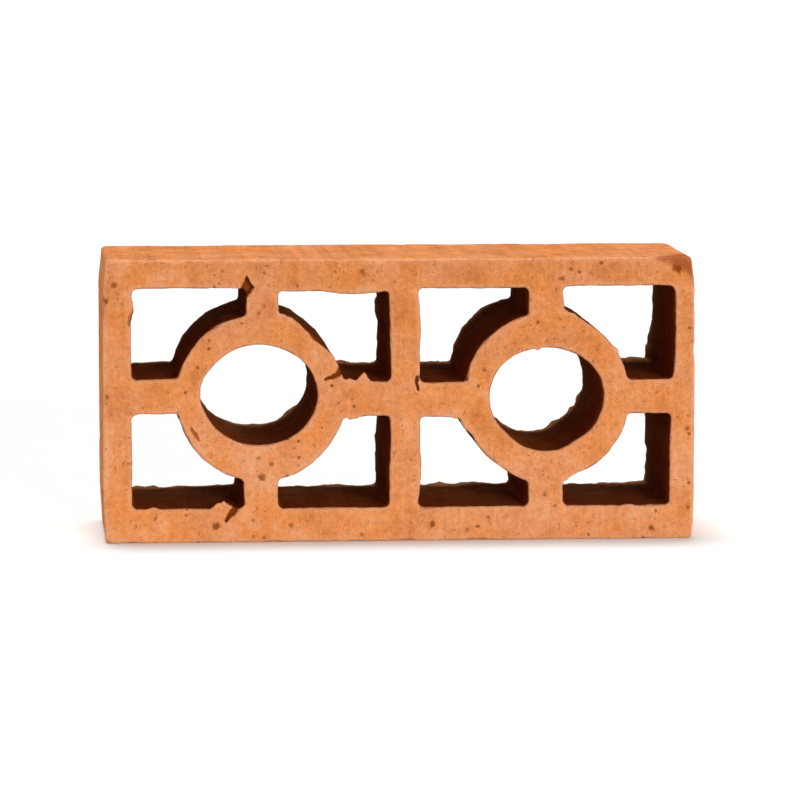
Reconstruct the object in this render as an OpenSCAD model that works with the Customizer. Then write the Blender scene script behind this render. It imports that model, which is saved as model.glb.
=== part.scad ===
// Clay air brick, standing on its bottom bed face.
// The clay is extruded from front to back, so one section gives every wall.
// X runs along the length, Y from the front face to the back face and Z up.

/* [Block] */
// Length of the block, from end to end
block_w = 230; // [205:1:270]
// Height of the block, from bed to bed
block_h = 110; // [96:1:140]
// Depth of the block, from the front face to the back face
block_d = 75; // [50:1:120]
// Radius of the four outer edges that the die rounds
edge_r = 1.5; // [0.5:0.5:4]

/* [Frame] */
// Thickness of the wall at each end
end_wall = 10; // [7:0.5:16]
// Thickness of the walls under the top bed and over the bottom bed
bed_wall = 12.5; // [8:0.5:17]
// Thickness of the upright web between the two cells
mid_web = 11.5; // [8:0.5:18]

/* [Grille] */
// Outer diameter of the ring in the middle of each cell
ring_d = 65; // [56:1:74]
// Width of the oval hole through the ring
hole_w = 44.5; // [40:0.5:50]
// Height of the oval hole through the ring
hole_h = 39; // [30:0.5:40]
// Thickness of the four spokes that hold the ring
spoke_w = 13.5; // [9:0.5:18]
// Radius of the fillets in the corners of the openings round the ring
fillet_r = 2; // [0.5:0.5:4]

/* [Hidden] */
$fn = 96;
terracotta = [0.88, 0.57, 0.36];

// Size of a cell, and the distance from the middle of the web to its centre
cell_w = (block_w - 2 * end_wall - mid_web) / 2;
cell_h = block_h - 2 * bed_wall;
cell_x = (mid_web + cell_w) / 2;

// One opening round the ring fills a quarter of the cell, less half of two spokes
opening_w = (cell_w - spoke_w) / 2;
opening_h = (cell_h - spoke_w) / 2;

// Neighbouring arcs lap by this much, so that they cross in one clean point
lap = 0.002;

// Centre of the fillet that touches both the ring and a spoke,
// measured along the spoke from the middle of the ring and across it
ring_r = ring_d / 2;
fillet_across = spoke_w / 2 + fillet_r;
fillet_along = sqrt(pow(ring_r + fillet_r - lap, 2) - pow(fillet_across, 2));

// The oval hole has arcs about four centres, found as on a drawing board: a line square to the
// diagonal of a quarter of the hole meets the long axis at an end arc's centre and the short axis
// at a flat arc's centre
quarter_diagonal = sqrt(pow(hole_w, 2) + pow(hole_h, 2)) / 2;
line_at = (quarter_diagonal - (hole_w - hole_h) / 2) / 2;
end_arc_r = line_at * quarter_diagonal / (hole_w / 2);
flat_arc_r = (quarter_diagonal - line_at) * quarter_diagonal / (hole_h / 2);
end_arc_x = hole_w / 2 - end_arc_r;
flat_arc_y = flat_arc_r - hole_h / 2;
arcs_meet_x = end_arc_x + end_arc_r * (hole_h / 2) / quarter_diagonal;

// Rectangle about its own centre with true arcs at its corners
module rounded_rectangle(width, height, radius) {
  square([width - 2 * radius, height], center = true);
  square([width, height - 2 * radius], center = true);
  for (side = [-1, 1], end = [-1, 1])
    translate([side * (width / 2 - radius), end * (height / 2 - radius)])
      circle(radius);
}

// Clay in the corner between the ring and one side of the spoke along X
module junction_fillet() {
  difference() {
    polygon([[0, 0], [fillet_along, spoke_w / 2], [fillet_along, fillet_across]]);
    translate([fillet_along, fillet_across])
      circle(fillet_r);
  }
}

// The opening between the ring, two spokes and the corner of the cell
module corner_opening() {
  difference() {
    translate([(spoke_w + opening_w) / 2, (spoke_w + opening_h) / 2])
      rounded_rectangle(opening_w, opening_h, fillet_r);
    circle(ring_r);
    junction_fillet();
    mirror([1, -1, 0])
      junction_fillet();
  }
}

// The oval hole through the ring
module oval_hole() {
  intersection() {
    translate([0, -flat_arc_y])
      circle(flat_arc_r);
    translate([0, flat_arc_y])
      circle(flat_arc_r);
    square([2 * arcs_meet_x, hole_w], center = true);
  }
  for (side = [-1, 1])
    translate([side * end_arc_x, 0])
      circle(end_arc_r + lap);
}

// Everything that is open in one cell, about the middle of its ring
module cell_openings() {
  for (left = [0, 1], low = [0, 1])
    mirror([left, 0, 0])
      mirror([0, low, 0])
        corner_opening();
  oval_hole();
}

// Section of the clay as it leaves the die
module clay_section() {
  difference() {
    rounded_rectangle(block_w, block_h, edge_r);
    for (side = [-1, 1])
      translate([side * cell_x, 0])
        cell_openings();
  }
}

// The whole brick, one piece of fired clay
module air_brick() {
  color(terracotta)
    translate([0, 0, block_h / 2])
      rotate([90, 0, 0])
        linear_extrude(height = block_d, center = true)
          clay_section();
}

air_brick();
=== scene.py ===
import bmesh
import bpy
import math
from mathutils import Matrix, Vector, kdtree, noise


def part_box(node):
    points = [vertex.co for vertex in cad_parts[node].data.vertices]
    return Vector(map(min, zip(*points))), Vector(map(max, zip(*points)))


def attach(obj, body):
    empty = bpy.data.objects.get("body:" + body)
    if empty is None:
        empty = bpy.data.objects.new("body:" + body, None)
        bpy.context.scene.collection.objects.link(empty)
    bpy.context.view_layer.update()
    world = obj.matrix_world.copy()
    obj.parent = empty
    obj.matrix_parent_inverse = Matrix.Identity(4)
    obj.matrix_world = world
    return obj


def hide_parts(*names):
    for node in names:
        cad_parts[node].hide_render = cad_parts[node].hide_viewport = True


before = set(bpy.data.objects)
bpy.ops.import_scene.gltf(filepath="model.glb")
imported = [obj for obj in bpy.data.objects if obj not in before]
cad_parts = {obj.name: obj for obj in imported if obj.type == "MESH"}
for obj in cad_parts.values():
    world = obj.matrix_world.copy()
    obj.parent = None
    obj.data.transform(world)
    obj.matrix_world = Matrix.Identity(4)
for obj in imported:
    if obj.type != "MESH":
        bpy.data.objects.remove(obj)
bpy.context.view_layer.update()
toMm = 1000.0  # the brick is shaped in millimetres and scaled back to metres at the end

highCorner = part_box("air_brick")[1] * toMm
halfLength = highCorner.x
halfDepth = highCorner.y
height = highCorner.z
frontY = -halfDepth

brick = {
    "weld": 0.001,         # points of the solid nearer than this are one
    "facing": 0.9,         # how squarely the solid's front face looks to the front
    "flatAngle": 0.5,      # degrees within which its faces lie in one plane
    "arris": 0.7,          # strip along every cut edge that wear rounds off
    "grid": 1.25,          # spacing of the points on the cut faces
    "snap": 0.2,           # a cut goes through points nearer than this
    "fineGrid": 0.4,       # spacing round marks
    "fineSnap": 0.1,
    "merge": 0.05,         # points of the sheet nearer than this become one
    "fineReach": 5.0,      # a crumb wider than this shows well on the plain grid
    "tearReach": 2.6,      # how far the close points go from the line of a tear
    "layers": 12,          # rings of points between the two cut faces
    "outerGrid": 2.5,      # spacing of the extra rings round the outside
    "outerSnap": 0.6,
    "outerSkin": 2.0,      # a wall nearer to the outside than this is an outer one
    "wallTilt": 0.5,       # a face that looks to the front or back less than this is a wall
    "onFace": 0.01,        # a point nearer than this to the plane of a cut face is on it
    "onSide": 1.0,         # a knock nearer than this to a side breaks into it
    "sharpAngle": 48,      # degrees past which an edge stays crisp
}

# marks seen on the front face: x from the middle and z from the bed, in mm
flecks = [  # x, z, radius, depth: burnt specks in the clay, darker the deeper they are, as painted shade in the pit
    (-111, 100, 1.3, 0.3), (-75, 77, 0.9, 0.2), (-15, 105, 1.1, 0.3), (-72, 6, 1.8, 0.5),
    (-58, 8, 0.8, 0.2), (-43, 6, 1.1, 0.3), (-51, 29, 1.0, 0.3), (-55, 24, 1.5, 0.4),
    (-56, 31, 0.8, 0.2), (-15, 2.5, 0.9, 0.2), (12, 6, 1.3, 0.4), (26, 4, 0.9, 0.2),
    (62, 101, 1.3, 0.3), (66, 105, 1.0, 0.3), (108, 105, 2.3, 0.5), (112, 43, 1.0, 0.3),
    (98, 4, 1.2, 0.4), (112.5, 12, 1.0, 0.2), (55, 17, 1.2, 0.3), (31, 66, 0.9, 0.2),
    (52, 84, 1.0, 0.3), (-57, 88, 1.0, 0.2), (-96, 9, 1.0, 0.2), (-84, 10, 0.8, 0.2),
    (-114, 94, 1.2, 0.4), (-113.6, 57, 1.1, 0.3), (-106, 30.5, 0.7, 0.2), (-57, 2.2, 0.7, 0.2),
    (-53, 1.7, 0.7, 0.2),
]
gouges = [  # depth, then the corners of the torn patch, anticlockwise
    (3.6, (-64.6, 96.0), (-62.0, 94.2), (-58.4, 97.8), (-59.9, 103.8), (-64.6, 97.6)),
    (0.9, (-74.6, 96.6), (-71.4, 96.6), (-73.4, 99.4)),
]
creases = [  # depth, then points of the tear with its half width at each
    (1.8, (-23.6, 67.0, 1.5), (-25.6, 63.8, 1.3), (-30.4, 61.4, 0.6)),
    (1.5, (5.0, 63.4, 1.0), (4.4, 61.4, 0.9), (5.0, 58.8, 0.6)),
    (1.8, (-64.4, 13.4, 1.5), (-66.4, 10.6, 1.2), (-68.3, 7.8, 0.7)),
    (0.8, (-104.6, 90.5, 0.8), (-105.4, 87.0, 1.0), (-105.6, 84.0, 0.5)),
    (0.8, (-82.0, 42.6, 0.7), (-80.2, 40.2, 0.9), (-79.0, 38.2, 0.5)),
]
crumbs = [  # x, z, reach, height, point: clay dragged over a front edge into the opening, or lost from it
    (-15.8, 61.8, 2.9, 3.9, 1.2), (-70.0, 12.5, 4.8, 3.0, 0.7), (-97, 12.5, 2.6, 1.1, 1.0),
    (51.5, 74.5, 1.7, 1.1, 1.0), (83, 73, 2.4, 1.1, 1.0), (-21.5, 61.8, 2.0, 0.9, 1.0),
    (88, 12.5, 3.0, 0.8, 0.8), (-21.0, 48.3, 7.0, 1.8, 1.0), (24.5, 47.5, 7.0, 2.7, 1.0),
    (-33.0, 78.5, 8.0, -1.6, 1.0), (-104, 90, 5.0, 1.2, 1.0), (62.5, 24, 4.0, 1.2, 1.0),
    (64.5, 87.5, 8.0, 2.0, 1.0), (-46, 87.5, 9.0, 2.0, 1.0),
]
lumps = [  # the same on the far edges
    (105, 67, 9.0, 2.2, 0.6), (77.6, 46, 3.0, 1.3, 0.9), (72, 42, 2.4, 1.0, 0.9),
    (65, 38, 3.0, 0.8, 0.9), (-95, 12.5, 3.0, 1.1, 0.9), (-20, 61.8, 4.0, 1.2, 0.8),
    (20, 12.5, 6.0, 1.3, 0.7), (-5.8, 84, 5.0, 1.4, 0.7), (105, 30, 4.0, 1.1, 0.8),
    (-40, 40, 3.5, 1.1, 0.8), (18, 61.8, 14.0, 1.6, 0.5), (29, 77, 12.0, 1.2, 0.6),
    (43, 86, 10.0, 1.0, 0.6), (98, 61.8, 10.0, 1.9, 0.5),
]
knocks = [  # x, y, z of a place on an outer edge or corner, reach and depth of what broke away there
    (-115, -37.5, 110, 6.0, 1.3), (115, -37.5, 110, 6.0, 1.6), (-115, -37.5, 0, 5.0, 1.2),
    (115, -37.5, 0, 5.0, 1.4), (-115, 37.5, 110, 6.0, 1.7), (115, 37.5, 110, 8.0, 2.3),
    (-115, 37.5, 0, 7.0, 1.9), (115, 37.5, 0, 5.0, 1.5), (-115, -37.5, 92, 5.0, 0.9),
    (-115, -37.5, 57, 4.5, 0.8), (115, -37.5, 12, 4.5, 0.9), (-88, -37.5, 110, 4.5, 0.6),
    (-8, -37.5, 110, 5.0, 0.5), (44, -37.5, 110, 4.0, 0.5), (30, -37.5, 0, 5.0, 0.6),
    (-50, -37.5, 0, 4.0, 0.5), (60, 37.5, 110, 7.0, 1.1), (-70, 37.5, 110, 5.0, 0.9),
    (-40, 37.5, 0, 6.0, 1.0), (-115, 37.5, 40, 6.5, 1.2), (115, 37.5, 70, 6.0, 1.0),
    (115, 6, 110, 6.0, 0.8), (-115, -14, 110, 7.0, 1.0), (115, -18, 0, 6.0, 0.8),
    (-115, 20, 0, 7.0, 1.0),
]


def everything(bm):
    return bm.verts[:] + bm.edges[:] + bm.faces[:]


def slices(low, high, step):
    count = math.ceil((high - low) / step)
    return [low + (high - low) * i / count for i in range(1, count)]


def sliceGrid(bm, geom, spans, step, snap):  # even cuts across the axes given
    for axis, (low, high) in spans.items():
        across = Vector((axis == "x", axis == "y", axis == "z"))
        for place in slices(low, high, step):
            cut = bmesh.ops.bisect_plane(bm, geom=geom, dist=snap, plane_co=across * place, plane_no=across)
            geom = cut["geom"]


def partsOf(faces):
    return list(dict.fromkeys(part for f in faces for part in [f, *f.edges, *f.verts]))


def insetOf(p):  # depth of a point inside the section's outline
    return min(halfLength - abs(p.x), p.z, height - p.z)


def isWall(f):
    return abs(f.normal.y) < brick["wallTilt"]


def cutSheet():  # the solid's front face as one flat sheet, with a strip along its edges
    bm = bmesh.new()
    bm.from_mesh(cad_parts["air_brick"].data)
    bmesh.ops.scale(bm, vec=(toMm, toMm, toMm), verts=bm.verts)
    bmesh.ops.remove_doubles(bm, verts=bm.verts, dist=brick["weld"])
    bm.normal_update()
    others = [f for f in bm.faces if f.normal.y > -brick["facing"]]
    bmesh.ops.delete(bm, geom=others, context="FACES")
    flat = math.radians(brick["flatAngle"])
    bmesh.ops.dissolve_limit(bm, angle_limit=flat, verts=bm.verts, edges=bm.edges)
    bmesh.ops.inset_region(bm, faces=bm.faces[:], thickness=brick["arris"],
                           use_boundary=True, use_even_offset=True)
    return bm


def refineSheet(bm, x, z, reach):  # closer points round one mark
    centre = Vector((x, frontY, z))
    near = [f for f in bm.faces if (f.calc_center_median() - centre).length < reach + brick["grid"]]
    spans = {"x": (x - reach, x + reach), "z": (z - reach, z + reach)}
    sliceGrid(bm, partsOf(near), spans, brick["fineGrid"], brick["fineSnap"])


def drawBack(bm):  # the sheet drawn back along Y in layers that lie closer near both faces
    region = everything(bm)
    arris = brick["arris"]
    count = brick["layers"]
    run = 2 * (halfDepth - arris)
    stops = [arris + run * (1 - math.cos(math.pi * i / count)) / 2 for i in range(count + 1)]
    reached = 0
    for stop in [*stops, 2 * halfDepth]:
        region = bmesh.ops.extrude_face_region(bm, geom=region)["geom"]
        moved = [part for part in region if isinstance(part, bmesh.types.BMVert)]
        bmesh.ops.translate(bm, vec=(0, stop - reached, 0), verts=moved)
        reached = stop
    bmesh.ops.recalc_face_normals(bm, faces=bm.faces)


def ringOutside(bm):  # more rings on the outer walls, for their scrapes and broken edges
    skin = [f for f in bm.faces if isWall(f) and insetOf(f.calc_center_median()) < brick["outerSkin"]]
    sliceGrid(bm, partsOf(skin), {"y": (frontY, halfDepth)}, brick["outerGrid"], brick["outerSnap"])


def smoothStep(low, high, value):
    t = min(max((value - low) / (high - low), 0), 1)
    return t * t * (3 - 2 * t)


seedWay = (1, 0.37, -0.61)  # the way to the next seed's noise


def ripple(p, amount, x, y, z, seed):  # noise with its own stretch along each axis
    dx, dy, dz = seedWay
    return amount * noise.noise(Vector((p.x * x + seed * dx, p.y * y + seed * dy, p.z * z + seed * dz)))


def crests(p, amount, x, y, z, seed, level):  # only what stands above a level in such noise
    return amount * max(0, ripple(p, 1, x, y, z, seed) - level)


# a row of noise holds its amount, its stretch along x, y and z, its seed and, where there is a sixth
# number, the level that it has to pass
warp = {
    "lean": ((0.25, 0.03, 0, 0.03, 81), (0.25, 0.03, 0, 0.03, 90)),  # noise that bends it in x and in z
    "shift": (1.5, 0.75),  # the whole grille sat a little right and high in the die
    "edge": 14,            # depth of outer wall over which the shift fades out
    "whole": 0.4,          # share of a pull's reach that it moves in full
    "pulls": [  # x, z, reach, and how far the cores there sat off true in x and z
        (-55, 55, 46, -0.4, 0.9), (-55, 55, 30, -0.3, 1.0), (55, 55, 46, 0.2, 0.3),
        (55, 55, 30, 0.3, -0.5), (-97, 56, 26, 0.0, 1.0), (0, 55, 40, 0.6, 0.0),
        (20, 55, 24, 0.0, -0.8), (105, 25, 30, -1.2, 0.0), (-85, 98, 30, 0.0, 0.6),
        (-30, 98, 30, 0.0, -1.0), (85, 98, 30, 0.0, 0.7), (-17, 98, 16, 0.0, -0.9),
        (107, 82, 24, 1.5, 0.0), (53, 33, 18, 0.0, -1.5), (12, 25, 14, 0.8, 0.0),
        (12, 85, 14, 0.8, 0.0), (-79, 57, 10, -0.6, 0.0), (-62, 92, 12, 1.2, 0.0),
        (80, 33, 18, 0.4, -0.2),
    ],
    "slack": [  # which corner of the outline in x and z, how far in from true, and over what height
        (-1, 1, 1.2, 15), (1, 1, 1.3, 14), (1, 0, 0.8, 12), (-1, 0, 0.9, 18),
    ],
}


def bend(p):  # the section leans a little from true, the same from front to back
    leanX, leanZ = (ripple(p, *layer) for layer in warp["lean"])
    move = Vector((leanX + warp["shift"][0], 0, leanZ + warp["shift"][1]))
    for x, z, reach, dx, dz in warp["pulls"]:
        near = smoothStep(reach, warp["whole"] * reach, math.hypot(p.x - x, p.z - z))
        move += Vector((dx, 0, dz)) * near
    move *= smoothStep(0, warp["edge"], insetOf(p))
    for side, top, amount, reach in warp["slack"]:
        near = smoothStep(reach, 0, abs(p.z - top * height)) * smoothStep(reach, 0, halfLength - side * p.x)
        move.x -= side * amount * near
    return move


walls = {
    "slow": (0.3, 0.07, 0.04, 0.07, 1),
    "streaks": (0.16, 0.4, 0.03, 0.4, 2),
    "grain": (0.1, 0.6, 0.5, 0.6, 3),
    "outer": (0.25, 0.05, 0.04, 0.05, 5),
    "scrapes": (0.3, 0.42, 0.012, 0.42, 9, 0.15),
    "dents": (0.9, 0.09, 0.07, 0.09, 10, 0.42),
}
face = {
    "slow": (0.16, 0.07, 1, 0.05, 11),
    "drag": (0.06, 0.45, 1, 0.08, 12),
}


def wallMove(p, out, outer):  # unevenness of a wall that slid along the die
    if outer:
        push = ripple(p, *walls["outer"]) - crests(p, *walls["scrapes"]) - crests(p, *walls["dents"])
        return out * min(push, 0)
    return out * (ripple(p, *walls["slow"]) + ripple(p, *walls["streaks"]) + ripple(p, *walls["grain"]))


def faceMove(p):  # the wire leaves the cut faces nearly flat, with drag lines up and down
    side = -1 if p.y < 0 else 1
    push = ripple(p, *face["slow"]) + ripple(p, *face["drag"])
    return Vector((0, side * min(push, 0), 0))


wear = {
    "least": 0.16,
    "more": (0.3, 0.45, 1, 0.45, 22, 0),
    "bites": (1.1, 0.16, 1, 0.16, 21, 0.25),
    "farRims": 0.4,        # share of it at the openings' far edges
    "follow": 3.0,         # how far from an edge the clay gives way with it
    "paler": 2.2,          # width of the rubbed strip along an edge
    "bittenUnshaded": 0.8,          # how much of the openings' painted shade a bitten front edge loses
    "bitten": (0.25, 0.7),  # the bite at which that starts, and at which it is full
}
burr = {
    "reach": 9.0,
    "amount": 1.6,
    "level": 0.35,
    "swells": (1, 0.08, 0.02, 0.08, 31, -0.1),
    "knots": (0.4, 0.22, 0.03, 0.22, 32, 0),
    "ragged": (0.22, 0.5, 0.1, 0.5, 33),
}


def rimMove(p, out):  # worn edges of the cut faces
    loss = wear["least"] + crests(p, *wear["more"]) + crests(p, *wear["bites"])
    return (Vector((0, 1 if p.y < 0 else -1, 0)) - out) * loss


def burrMove(p, out):  # clay dragged into the openings where the wire left the block
    near = smoothStep(halfDepth - burr["reach"], halfDepth, p.y)
    swell = crests(p, *burr["swells"]) + crests(p, *burr["knots"])
    return out * near * (burr["amount"] * swell - burr["level"] + ripple(p, *burr["ragged"]))


def rimShift(p, out, outer):  # how far wear and burrs have moved the edge of a cut face
    if outer:
        return rimMove(p, out)
    return rimMove(p, out) * (1 if p.y < 0 else wear["farRims"]) + burrMove(p, out)


crumbForm = {"least": 0.9, "rough": (0.35, 0.9, 0.9, 0.9, 41)}
knockForm = {
    "whole": 0.55,         # share of its reach in which it is full
    "coarse": (0.5, 0.35, 0.35, 0.35, 71),
    "fine": (0.2, 0.9, 0.9, 0.9, 72),
}


def crumbMove(p, edge, way, reach, tall, point):  # a crumb stands out of its edge and tapers along it
    t = 1 - (p - edge).length / reach
    if t <= 0:
        return Vector()
    return way * tall * t ** point * (crumbForm["least"] + ripple(p, *crumbForm["rough"]))


def knockMove(p, edge, way, reach, depth):  # what stood above a rough broken plane is gone
    fade = smoothStep(reach, knockForm["whole"] * reach, (p - edge).length)
    above = (p - edge).dot(way) + depth + ripple(p, *knockForm["coarse"]) + ripple(p, *knockForm["fine"])
    return way * -max(0, above) * fade


# each pair below is where a depth or a tint of a mark starts and where it is full; a tint is burnt colour
# in a fleck and painted shade in a tear or torn patch
fleckForm = {
    "ragged": (0.6, 0.8, 0, 0.8, 51),
    "pit": (1, 0.3),       # in radii
    "tint": (1.2, 0.45),
    "dark": 0.4,           # tint of the shallowest; deeper ones get painted shade on top
    "darkest": 0.85,
    "reach": 1.6,          # in radii
    "margin": 0.6,
}
gougeForm = {
    "coarse": (0.5, 0.7, 0, 0.7, 52),
    "fine": (0.3, 1.6, 0, 1.6, 54),
    "pit": (0, 1.4),       # in mm from its sides
    # a torn patch's tint is painted shade
    "tint": (-0.1, 0.7),
}
creaseForm = {
    "ragged": (0.35, 0.9, 0, 0.9, 53),
    "pit": (1, 0.1),       # in half widths
    "tint": (1.1, 0.5),
    "darkAt": 1.2,         # depth from which its painted shade is as dark as can be
}
stain = {  # the upper right corner is burnt and spalled beyond a slanting line
    "from": (95.0, 110.0),
    "to": (116.5, 96.0),
    "ragged": (1.4, 0.2, 0.12, 0.2, 61),
    "tint": (-0.6, 5.5),   # in mm from that line
    "taper": 0.45,         # how fast it draws in to the corner behind the face
    "depth": 0.9,
    "reach": 22.0,
}
sink = {
    "fade": 5.0,           # how far behind the face a sunken mark still draws the walls in
    "margin": 1.5,         # how far a tear reaches past its points
}


def besideLine(p, start, end):  # how far a point lies to the left of a line on the face
    (ax, az), (bx, bz) = start, end
    return ((bx - ax) * (p.z - az) - (bz - az) * (p.x - ax)) / math.hypot(bx - ax, bz - az)


def fleckMark(p, x, z, radius, depth):  # depth and darkness of a fleck at a point, the darkness being burnt colour with painted shade that grows with depth
    gap = math.hypot(p.x - x, p.z - z) / (radius * (1 + ripple(p, *fleckForm["ragged"])))
    dark = min(fleckForm["dark"] + depth, fleckForm["darkest"])
    return depth * smoothStep(*fleckForm["pit"], gap), dark * smoothStep(*fleckForm["tint"], gap)


def gougeMark(p, depth, *corners):  # the same of a torn patch, its darkness being painted shade
    inward = min(besideLine(p, *side) for side in zip(corners, corners[1:] + corners[:1]))
    inward += ripple(p, *gougeForm["coarse"]) + ripple(p, *gougeForm["fine"])
    return depth * smoothStep(*gougeForm["pit"], inward), smoothStep(*gougeForm["tint"], inward)


def creaseMark(p, depth, *points):  # the same of a tear, its darkness being painted shade that grows with depth
    spot = Vector((p.x, p.z))
    nearest = math.inf
    for (ax, az, wide), (bx, bz, narrow) in zip(points, points[1:]):
        start = Vector((ax, az))
        along = Vector((bx, bz)) - start
        share = min(max((spot - start).dot(along) / along.length_squared, 0), 1)
        width = wide + (narrow - wide) * share
        nearest = min(nearest, (spot - start - along * share).length / width)
    nearest += ripple(p, *creaseForm["ragged"])
    dark = min(depth / creaseForm["darkAt"], 1)
    return depth * smoothStep(*creaseForm["pit"], nearest), smoothStep(*creaseForm["tint"], nearest) * dark


def stainAt(p):  # how strong the stain is at a point
    beyond = besideLine(p, stain["from"], stain["to"])
    beyond += ripple(p, *stain["ragged"]) - stain["taper"] * (p.y - frontY)
    return smoothStep(*stain["tint"], beyond)


def spallMark(p, depth):  # the stained corner has sunk, and its tint is kept apart
    return depth * stainAt(p), 0


def fleckReach(radius):
    return fleckForm["reach"] * radius + fleckForm["margin"]


def markSpan(spots):  # middle of a mark's points and how far it reaches
    x = sum(spot[0] for spot in spots) / len(spots)
    z = sum(spot[1] for spot in spots) / len(spots)
    return x, z, max(math.hypot(spot[0] - x, spot[1] - z) for spot in spots) + sink["margin"]


sunken = [(x, z, fleckReach(radius), fleckMark, (x, z, radius, depth)) for x, z, radius, depth in flecks]
sunken += [(*markSpan(corners), gougeMark, (depth, *corners)) for depth, *corners in gouges]
sunken += [(*markSpan(points), creaseMark, (depth, *points)) for depth, *points in creases]
sunken.append((halfLength, height, stain["reach"], spallMark, (stain["depth"],)))

fineSpots = [(x, z, fleckReach(radius)) for x, z, radius, depth in flecks]
fineSpots += [markSpan(corners) for depth, *corners in gouges]
fineSpots += [(x, z, brick["tearReach"]) for depth, *points in creases for x, z, width in points]
fineSpots += [(x, z, reach) for x, z, reach, tall, point in crumbs if reach < brick["fineReach"]]

sheet = cutSheet()
wholeFace = {"x": (-halfLength, halfLength), "z": (0, height)}
sliceGrid(sheet, everything(sheet), wholeFace, brick["grid"], brick["snap"])
print("sheet of clay:", len(sheet.faces), "faces")
for x, z, reach in fineSpots:
    refineSheet(sheet, x, z, reach)
bmesh.ops.dissolve_degenerate(sheet, dist=brick["merge"], edges=sheet.edges)
drawBack(sheet)
ringOutside(sheet)
print("block:", len(sheet.faces), "faces,", sum(len(f.verts) - 2 for f in sheet.faces), "triangles")


def readPlaces(bm):  # place, way out of the wall, outer wall or not, cut face or not, for each point
    places = {}
    for v in bm.verts:
        walled = [f.normal for f in v.link_faces if isWall(f)]
        out = sum(walled, Vector()).normalized() if walled else None
        p = v.co.copy()
        places[v] = (p, out, insetOf(p) < brick["outerSkin"], abs(abs(p.y) - halfDepth) < brick["onFace"])
    return places


sheet.normal_update()
places = readPlaces(sheet)


def seatCrumbs(wanted, y):  # each crumb grows from the nearest edge of an opening
    edges = [(p, out) for p, out, outer, atFace in places.values()
             if out and atFace and not outer and p.y * y > 0]
    seated = []
    for x, z, reach, tall, point in wanted:
        edge, way = min(edges, key=lambda rim: math.hypot(rim[0].x - x, rim[0].z - z))
        seated.append((edge, way, reach, tall, point))
    return seated


def seatKnocks():  # the way out of the block at each knock
    near = brick["onSide"]
    seated = []
    for x, y, z, reach, depth in knocks:
        endWay = math.copysign(abs(x) > halfLength - near, x)
        faceWay = math.copysign(abs(y) > halfDepth - near, y)
        bedWay = (z > height - near) - (z < near)
        way = Vector((endWay, faceWay, bedWay)).normalized()
        seated.append((Vector((x, y, z)), way, reach, depth))
    return seated


frontCrumbs = seatCrumbs(crumbs, frontY)
backCrumbs = seatCrumbs(lumps, -frontY)
seatedKnocks = seatKnocks()
knockReach = max(reach for edge, way, reach, depth in seatedKnocks)
rims = [(p, rimShift(p, out, outer)) for p, out, outer, atFace in places.values() if out and atFace]
rimTree = kdtree.KDTree(len(rims))
for i, (p, shift) in enumerate(rims):
    rimTree.insert(p, i)
rimTree.balance()


def grownOn(p):  # what crumbs add at a point
    grown = Vector()
    for crumb in frontCrumbs if p.y < 0 else backCrumbs:
        grown += crumbMove(p, *crumb)
    return grown


def brokenOff(p):  # what knocks take away there
    broken = Vector()
    if insetOf(p) < knockReach:
        for edge, way, reach, depth in seatedKnocks:
            if (p - edge).length < reach:
                broken += knockMove(p, edge, way, reach, depth)
    return broken


def marksAt(p):  # depth and darkness of the sunken marks there, the darkness being burnt colour and painted shade, which fade out behind the face
    behind = p.y - frontY
    if behind >= sink["fade"]:
        return []
    left = 1 - behind / sink["fade"]
    found = [mark(p, *shape) for x, z, reach, mark, shape in sunken
             if abs(p.x - x) < reach and abs(p.z - z) < reach]
    return [(depth * left, dark * left) for depth, dark in found]


shades = {
    "rimCut": 0.5,         # how much an edge looks like the cut face beside it
    "frontRim": 0.3,       # share of the walls' painted shade that a front edge gets
    "proud": (1.5, 0.2),   # a crumb this tall gets none of its wall's painted shade, and one this low all of it
    "broken": (0.1, 0.5),  # a loss at which the clay starts to be paler, and at which it is palest
}
looks = {name: [] for name in ("cutFace", "opening", "specksAndShade", "rim", "stain")}
for v, (p, out, outer, atFace) in places.items():
    nearest, gap = rimTree.find(p)[1:]
    give = rims[nearest][1] * smoothStep(wear["follow"], 0, gap)  # what lies beside a rim gives way with it
    move = bend(p)
    if out:
        move += wallMove(p, out, outer)
        if atFace:
            move += give
        elif outer:
            move.y += give.y
        else:
            move += burrMove(p, out) + Vector((0, give.y, 0))
    elif atFace:
        move += faceMove(p) + Vector((give.x, 0, give.z))
    # darkest tint here: burnt specks, and painted shade in tears and torn patches
    specksAndShade = 0
    for depth, dark in marksAt(p):
        move.y += depth
        specksAndShade = max(specksAndShade, dark)
    grown = grownOn(p)
    broken = brokenOff(p)
    v.co = p + move + grown + broken

    looks["cutFace"].append((shades["rimCut"] if out else 1) if atFace else 0)
    # inner walls carry the painted shade of the openings, and a front edge carries part of it
    inside = 0 if not out or outer else (shades["frontRim"] if atFace and p.y < 0 else 1)
    proud = grown.dot(out) if inside and p.y < 0 else 0
    bittenUnshaded = wear["bittenUnshaded"] * smoothStep(*wear["bitten"], give.y)  # a bitten front edge loses the painted shade of the opening
    looks["opening"].append(inside * (1 - bittenUnshaded) * smoothStep(*shades["proud"], proud))
    looks["specksAndShade"].append(specksAndShade)
    pointValues = smoothStep(wear["paler"], 0, gap) if atFace else 0
    looks["rim"].append(max(pointValues, smoothStep(*shades["broken"], broken.length)))
    looks["stain"].append(stainAt(p))
print("weathered")

mesh = bpy.data.meshes.new("airBrick")
bmesh.ops.scale(sheet, vec=(1 / toMm, 1 / toMm, 1 / toMm), verts=sheet.verts)
sheet.to_mesh(mesh)
sheet.free()
for name, values in looks.items():
    layer = mesh.attributes.new(name, "FLOAT", "POINT")
    layer.data.foreach_set("value", values)
mesh.shade_smooth()
mesh.set_sharp_from_angle(angle=math.radians(brick["sharpAngle"]))
airBrick = bpy.data.objects.new("airBrick", mesh)
bpy.context.scene.collection.objects.link(airBrick)
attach(airBrick, "root")
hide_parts("air_brick")


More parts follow.
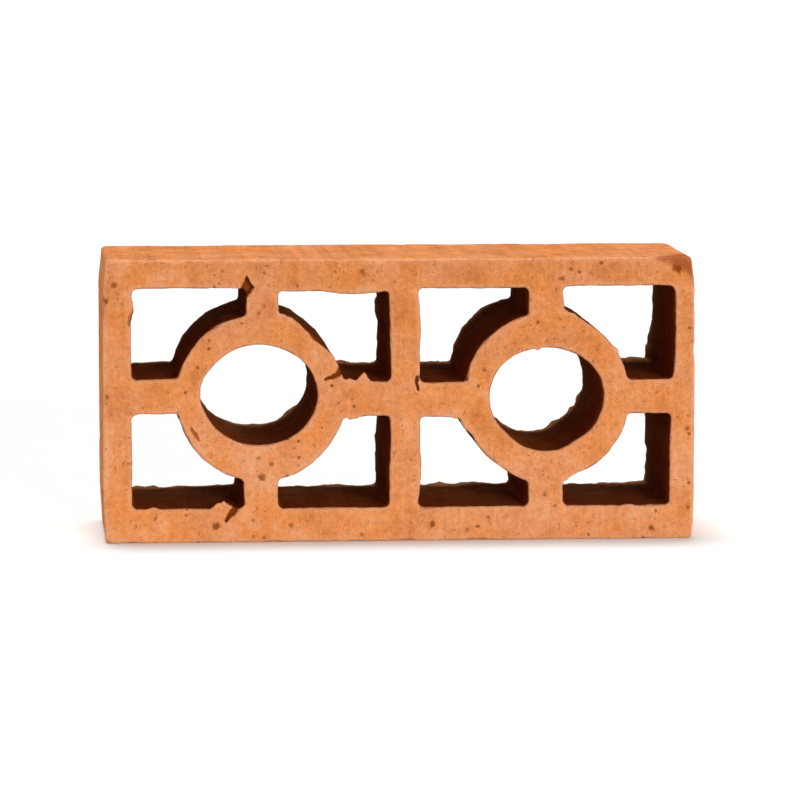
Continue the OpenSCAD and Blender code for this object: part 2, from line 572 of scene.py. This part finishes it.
clay = {
    "orange": (0.87, 0.294, 0.082),
    "pink": (0.85, 0.330, 0.139),
    "deep": (0.66, 0.200, 0.056),
    "pale": (0.92, 0.440, 0.230),
    "iron": (0.20, 0.045, 0.012),     # small burnt specks
    "sand": (0.90, 0.560, 0.360),     # pale grains
    "speckAndShadeColour": (0.27, 0.055, 0.004),    # burnt flecks, and painted shade in torn places and tears
    "stained": (0.42, 0.100, 0.026),
    "frontShade": (0.43, 0.23, 0.12),      # painted shade: what is left of the colour inside the openings, near the front
    "farShade": (0.31, 0.34, 0.38),       # the same painted shade, greyer and darker at the far end
    "ironShow": 0.75,                 # how much of the clay's own colour each of these covers
    "sandShow": 0.55,
    "stainShow": 0.85,
    "upShade": (1.10, 0.96),          # paler at the bed than at the top
    "roughness": (0.84, 0.98),
    "shine": 0.0,
    "bump": 0.0008,
    "bumpStrength": 0.8,
    "grainRise": 0.8,                 # share of each in the bumps
    "lineRise": 0.6,
    "ironRise": 0.4,
    "poreRise": 0.5,
}
textures = {  # scale, detail and roughness
    "drift": (28, 4, 0.6),
    "blotch": (95, 6, 0.66),
    "pores": (620, 3, 0.55),
    "fine": (1500, 3, 0.6),
    "coarse": (480, 4, 0.62),
    "lines": (1.0, 4, 0.62),
    "ragged": (190, 5, 0.6),
}
ranges = {  # from and to in the texture, and in what it gives where that isn't 0 and 1
    "drift": (0.38, 0.62),
    "deep": (0.51, 0.72, 0, 0.85),
    "pale": (0.48, 0.28, 0, 0.75),
    "pores": (0.36, 0.27),
    "grain": (0.3, 0.7, 0.76, 1.24),
    "gloss": (0.3, 0.7),
    "drawn": (0.3, 0.7, 0.95, 1.05),
    "scraped": (0.3, 0.7, -0.14, 0.14),
    "pitted": (0.0, 1.0, 1.02, 0.72),
    "rubbed": (0.35, 0.6, 0.1, 0.8),
    "ragged": (0.3, 0.7, -0.4, 0.4),
    "stain": (0.05, 0.75),
    "speckSize": (0.0, 1.0, 0.35, 1.25),
}
specks = {  # how close the cells are, the share that has a speck, and its radius in the cell
    "iron": {"Scale": 230.0, "Share": 0.15, "Radius": 0.24},
    "sand": {"Scale": 430.0, "Share": 0.14, "Radius": 0.24},
    "shake": {"Scale": 900.0, "Detail": 2.0},  # noise that breaks up their outline
    "shift": (0.0012, 0.0012, 0.0012),
    "core": 0.5,                               # share of the radius that is dark throughout
}
lineStretch = {
    "wire": (620.0, 1.0, 55.0),       # up and down the cut faces
    "die": (520.0, 9.0, 520.0),       # through the block on its walls
    "scrape": (150.0, 5.0, 150.0),
}


def feed(tree, socket, value):  # a socket is linked, a plain value is set
    if isinstance(value, bpy.types.NodeSocket):
        tree.links.new(value, socket)
    else:
        socket.default_value = (*value, 1) if socket.type == "RGBA" else value


def addNode(tree, kind, **inputs):
    made = tree.nodes.new("ShaderNode" + kind)
    for name, value in inputs.items():
        feed(tree, made.inputs[name], value)
    return made


def noiseOf(tree, place, scale, detail, rough):
    made = addNode(tree, "TexNoise", Vector=place, Scale=scale, Detail=detail, Roughness=rough)
    return made.outputs["Fac"]


def calc(tree, operation, a, b):
    made = tree.nodes.new("ShaderNodeMath")
    made.operation = operation
    feed(tree, made.inputs[0], a)
    feed(tree, made.inputs[1], b)
    return made.outputs[0]


def times(tree, a, b):
    return calc(tree, "MULTIPLY", a, b)


def vectorCalc(tree, operation, *values):
    made = tree.nodes.new("ShaderNodeVectorMath")
    made.operation = operation
    for socket, value in zip(made.inputs, values):
        feed(tree, socket, value)
    return made.outputs[0]


def spread(tree, value, fromLow, fromHigh, toLow=0.0, toHigh=1.0):
    made = tree.nodes.new("ShaderNodeMapRange")
    for name, amount in zip(("Value", "From Min", "From Max", "To Min", "To Max"),
                            (value, fromLow, fromHigh, toLow, toHigh)):
        feed(tree, made.inputs[name], amount)
    return made.outputs["Result"]


def blend(tree, factor, a, b, how="MIX"):
    made = tree.nodes.new("ShaderNodeMix")
    made.data_type = "RGBA"
    made.blend_type = how
    feed(tree, made.inputs["Factor"], factor)
    feed(tree, made.inputs["A"], a)
    feed(tree, made.inputs["B"], b)
    return made.outputs["Result"]


def startGroup(name, inputs, outputs):
    tree = bpy.data.node_groups.new(name, "ShaderNodeTree")
    for label, kind in inputs.items():
        tree.interface.new_socket(label, in_out="INPUT", socket_type="NodeSocket" + kind)
    for label, kind in outputs.items():
        tree.interface.new_socket(label, in_out="OUTPUT", socket_type="NodeSocket" + kind)
    return tree, tree.nodes.new("NodeGroupInput").outputs, tree.nodes.new("NodeGroupOutput").inputs


def useGroup(tree, group, **inputs):
    made = tree.nodes.new("ShaderNodeGroup")
    made.node_tree = group
    for name, value in inputs.items():
        feed(tree, made.inputs[name], value)
    return made.outputs


def clayTone():  # broad drifts from orange to pink, with darker and paler blotches
    tree, given, result = startGroup("clayTone", {"Place": "Vector"}, {"Color": "Color"})
    drift = noiseOf(tree, given["Place"], *textures["drift"])
    tone = blend(tree, spread(tree, drift, *ranges["drift"]), clay["orange"], clay["pink"])
    blotch = noiseOf(tree, given["Place"], *textures["blotch"])
    tone = blend(tree, spread(tree, blotch, *ranges["deep"]), tone, clay["deep"])
    tone = blend(tree, spread(tree, blotch, *ranges["pale"]), tone, clay["pale"])
    feed(tree, result["Color"], tone)
    return tree


def pores():  # small open pits between the grains
    tree, given, result = startGroup("pores", {"Place": "Vector"}, {"Mask": "Float"})
    pits = noiseOf(tree, given["Place"], *textures["pores"])
    feed(tree, result["Mask"], spread(tree, pits, *ranges["pores"]))
    return tree


def sandGrain():  # the gritty body of the clay, half fine and half coarse
    outputs = {"Shade": "Float", "Height": "Float"}
    tree, given, result = startGroup("sandGrain", {"Place": "Vector"}, outputs)
    fine = noiseOf(tree, given["Place"], *textures["fine"])
    coarse = noiseOf(tree, given["Place"], *textures["coarse"])
    mixed = calc(tree, "ADD", times(tree, fine, 0.5), times(tree, coarse, 0.5))
    feed(tree, result["Shade"], spread(tree, mixed, *ranges["grain"]))
    feed(tree, result["Height"], mixed)
    return tree


def speckle():  # separate specks, a share of the cells having one
    inputs = {"Place": "Vector", "Scale": "Float", "Share": "Float", "Radius": "Float"}
    tree, given, result = startGroup("speckle", inputs, {"Mask": "Float"})
    jitter = addNode(tree, "TexNoise", Vector=given["Place"], **specks["shake"]).outputs["Color"]
    shaken = vectorCalc(tree, "MULTIPLY_ADD", jitter, specks["shift"], given["Place"])
    cells = addNode(tree, "TexVoronoi", Vector=shaken, Scale=given["Scale"]).outputs
    chance = addNode(tree, "SeparateColor", Color=cells["Color"]).outputs
    picked = calc(tree, "LESS_THAN", chance["Red"], given["Share"])
    radius = times(tree, given["Radius"], spread(tree, chance["Green"], *ranges["speckSize"]))
    near = spread(tree, cells["Distance"], radius, times(tree, radius, specks["core"]))
    feed(tree, result["Mask"], times(tree, picked, near))
    return tree


def drawnLines():  # fine lines along one direction, given by how each axis is stretched
    inputs = {"Place": "Vector", "Stretch": "Vector"}
    tree, given, result = startGroup("drawnLines", inputs, {"Height": "Float"})
    stretched = vectorCalc(tree, "MULTIPLY", given["Place"], given["Stretch"])
    feed(tree, result["Height"], noiseOf(tree, stretched, *textures["lines"]))
    return tree


def firedClay():
    material = bpy.data.materials.new("firedClay")
    material.use_nodes = True
    tree = material.node_tree
    shader = tree.nodes["Principled BSDF"]
    shader.inputs["Specular IOR Level"].default_value = clay["shine"]
    place = addNode(tree, "TexCoord").outputs["Object"]
    axes = addNode(tree, "SeparateXYZ", Vector=place).outputs
    pointValues = {}
    for name in looks:
        read = addNode(tree, "Attribute")
        read.attribute_name = name
        pointValues[name] = read.outputs["Fac"]

    grain = useGroup(tree, sandGrain(), Place=place)
    speck = speckle()
    iron = useGroup(tree, speck, Place=place, **specks["iron"])["Mask"]
    sand = useGroup(tree, speck, Place=place, **specks["sand"])["Mask"]
    lines = drawnLines()
    wire = useGroup(tree, lines, Place=place, Stretch=lineStretch["wire"])["Height"]
    die = useGroup(tree, lines, Place=place, Stretch=lineStretch["die"])["Height"]
    scrape = useGroup(tree, lines, Place=place, Stretch=lineStretch["scrape"])["Height"]
    pitted = useGroup(tree, pores(), Place=place)["Mask"]
    onWalls = calc(tree, "SUBTRACT", 1.0, pointValues["cutFace"])
    drawn = calc(tree, "ADD", times(tree, wire, pointValues["cutFace"]), times(tree, die, onWalls))

    shade = times(tree, grain["Shade"], spread(tree, drawn, *ranges["drawn"]))
    shade = times(tree, shade, spread(tree, axes["Z"], 0.0, height / toMm, *clay["upShade"]))
    scraped = times(tree, onWalls, spread(tree, scrape, *ranges["scraped"]))
    shade = times(tree, shade, calc(tree, "ADD", 1.0, scraped))
    shade = times(tree, shade, spread(tree, pitted, *ranges["pitted"]))
    colour = useGroup(tree, clayTone(), Place=place)["Color"]
    colour = blend(tree, 1.0, colour, shade, "MULTIPLY")
    rubbed = times(tree, pointValues["rim"], spread(tree, grain["Height"], *ranges["rubbed"]))
    colour = blend(tree, rubbed, colour, clay["pale"])
    colour = blend(tree, times(tree, sand, clay["sandShow"]), colour, clay["sand"])
    patchy = spread(tree, noiseOf(tree, place, *textures["ragged"]), *ranges["ragged"])
    ragged = calc(tree, "ADD", pointValues["stain"], patchy)
    burntOver = times(tree, pointValues["stain"], spread(tree, ragged, *ranges["stain"]))
    colour = blend(tree, times(tree, burntOver, clay["stainShow"]), colour, clay["stained"])
    colour = blend(tree, times(tree, iron, clay["ironShow"]), colour, clay["iron"])
    # burnt specks, and painted shade in tears and torn patches
    colour = blend(tree, pointValues["specksAndShade"], colour, clay["speckAndShadeColour"])
    # painted shade inside the openings, going from the near colour to the far one through the block
    through = spread(tree, axes["Y"], frontY / toMm, halfDepth / toMm)
    shadeTint = blend(tree, through, clay["frontShade"], clay["farShade"])
    colour = blend(tree, pointValues["opening"], colour, shadeTint, "MULTIPLY")
    feed(tree, shader.inputs["Base Color"], colour)
    rough = spread(tree, grain["Height"], *ranges["gloss"], *clay["roughness"])
    feed(tree, shader.inputs["Roughness"], rough)

    grainRise = times(tree, grain["Height"], clay["grainRise"])
    rise = calc(tree, "ADD", grainRise, times(tree, drawn, clay["lineRise"]))
    rise = calc(tree, "SUBTRACT", rise, times(tree, iron, clay["ironRise"]))
    rise = calc(tree, "SUBTRACT", rise, times(tree, pitted, clay["poreRise"]))
    bump = addNode(tree, "Bump", Height=rise, Distance=clay["bump"], Strength=clay["bumpStrength"])
    feed(tree, shader.inputs["Normal"], bump.outputs["Normal"])
    return material


airBrick.data.materials.append(firedClay())
print("clay fired")

floor = {"size": 60, "seen": (0.98, 0.98, 0.98), "glow": 0.11, "bounce": (0.3, 0.3, 0.3)}
lights = [  # name, azimuth and elevation it comes from, angle it fills, strength in units of plain daylight
    ("key", 16, 3, 22, 1.06),
    ("sky", -168, 81, 20, 0.72),
    ("left", -90, 4, 20, 0.42),
    ("right", 90, 4, 20, 0.42),
    ("behind", 180, 1, 20, 0.7),
]
world = {"colour": (1, 1, 1, 1), "strength": 0.08}
camera = {"distance": 2.04, "azimuth": -4.4, "elevation": 5.9, "lens": 237, "sensor": 36}


def direction(azimuth, elevation):  # unit vector towards a place round the brick
    a, e = math.radians(azimuth), math.radians(elevation)
    return Vector((math.sin(a) * math.cos(e), -math.cos(a) * math.cos(e), math.sin(e)))


def paleFloor():  # white to the eye, with the brick's shadow, and a dull floor to all other light
    material = bpy.data.materials.new("paleFloor")
    material.use_nodes = True
    tree = material.node_tree
    tree.nodes.clear()
    path = addNode(tree, "LightPath").outputs
    looked = calc(tree, "MAXIMUM", path["Is Camera Ray"], path["Is Glossy Ray"])
    looked = calc(tree, "MAXIMUM", looked, path["Is Transmission Ray"])
    dull = addNode(tree, "BsdfDiffuse", Color=floor["bounce"])
    white = addNode(tree, "BsdfDiffuse", Color=floor["seen"])
    glow = addNode(tree, "Emission", Strength=floor["glow"])
    bright = tree.nodes.new("ShaderNodeAddShader")
    tree.links.new(white.outputs[0], bright.inputs[0])
    tree.links.new(glow.outputs[0], bright.inputs[1])
    mix = tree.nodes.new("ShaderNodeMixShader")
    tree.links.new(looked, mix.inputs[0])
    tree.links.new(dull.outputs[0], mix.inputs[1])
    tree.links.new(bright.outputs[0], mix.inputs[2])
    tree.links.new(mix.outputs[0], tree.nodes.new("ShaderNodeOutputMaterial").inputs["Surface"])
    return material


def layFloor():
    bm = bmesh.new()
    bmesh.ops.create_grid(bm, x_segments=1, y_segments=1, size=floor["size"] / 2)
    floorMesh = bpy.data.meshes.new("floor")
    bm.to_mesh(floorMesh)
    bm.free()
    floorMesh.materials.append(paleFloor())
    obj = bpy.data.objects.new("floor", floorMesh)
    bpy.context.scene.collection.objects.link(obj)


def hangLights():
    for name, azimuth, elevation, angle, strength in lights:
        lamp = bpy.data.lights.new(name, "SUN")
        lamp.energy = strength * math.pi
        lamp.angle = math.radians(angle)
        obj = bpy.data.objects.new(name, lamp)
        obj.rotation_euler = direction(azimuth, elevation).to_track_quat("Z", "Y").to_euler()
        bpy.context.scene.collection.objects.link(obj)
    room = bpy.data.worlds.new("room")
    room.use_nodes = True
    room.node_tree.nodes["Background"].inputs["Color"].default_value = world["colour"]
    room.node_tree.nodes["Background"].inputs["Strength"].default_value = world["strength"]
    bpy.context.scene.world = room


def setCamera():
    lens = bpy.data.cameras.new("camera")
    lens.lens = camera["lens"]
    lens.sensor_width = camera["sensor"]
    lens.clip_end = 2 * floor["size"]
    obj = bpy.data.objects.new("camera", lens)
    target = Vector((0, frontY, height / 2)) / toMm
    away = direction(camera["azimuth"], camera["elevation"])
    obj.location = target + away * camera["distance"]
    obj.rotation_euler = away.to_track_quat("Z", "Y").to_euler()
    bpy.context.scene.collection.objects.link(obj)
    bpy.context.scene.camera = obj


layFloor()
hangLights()
setCamera()
bpy.context.scene.view_settings.view_transform = "Standard"
print("stage set")
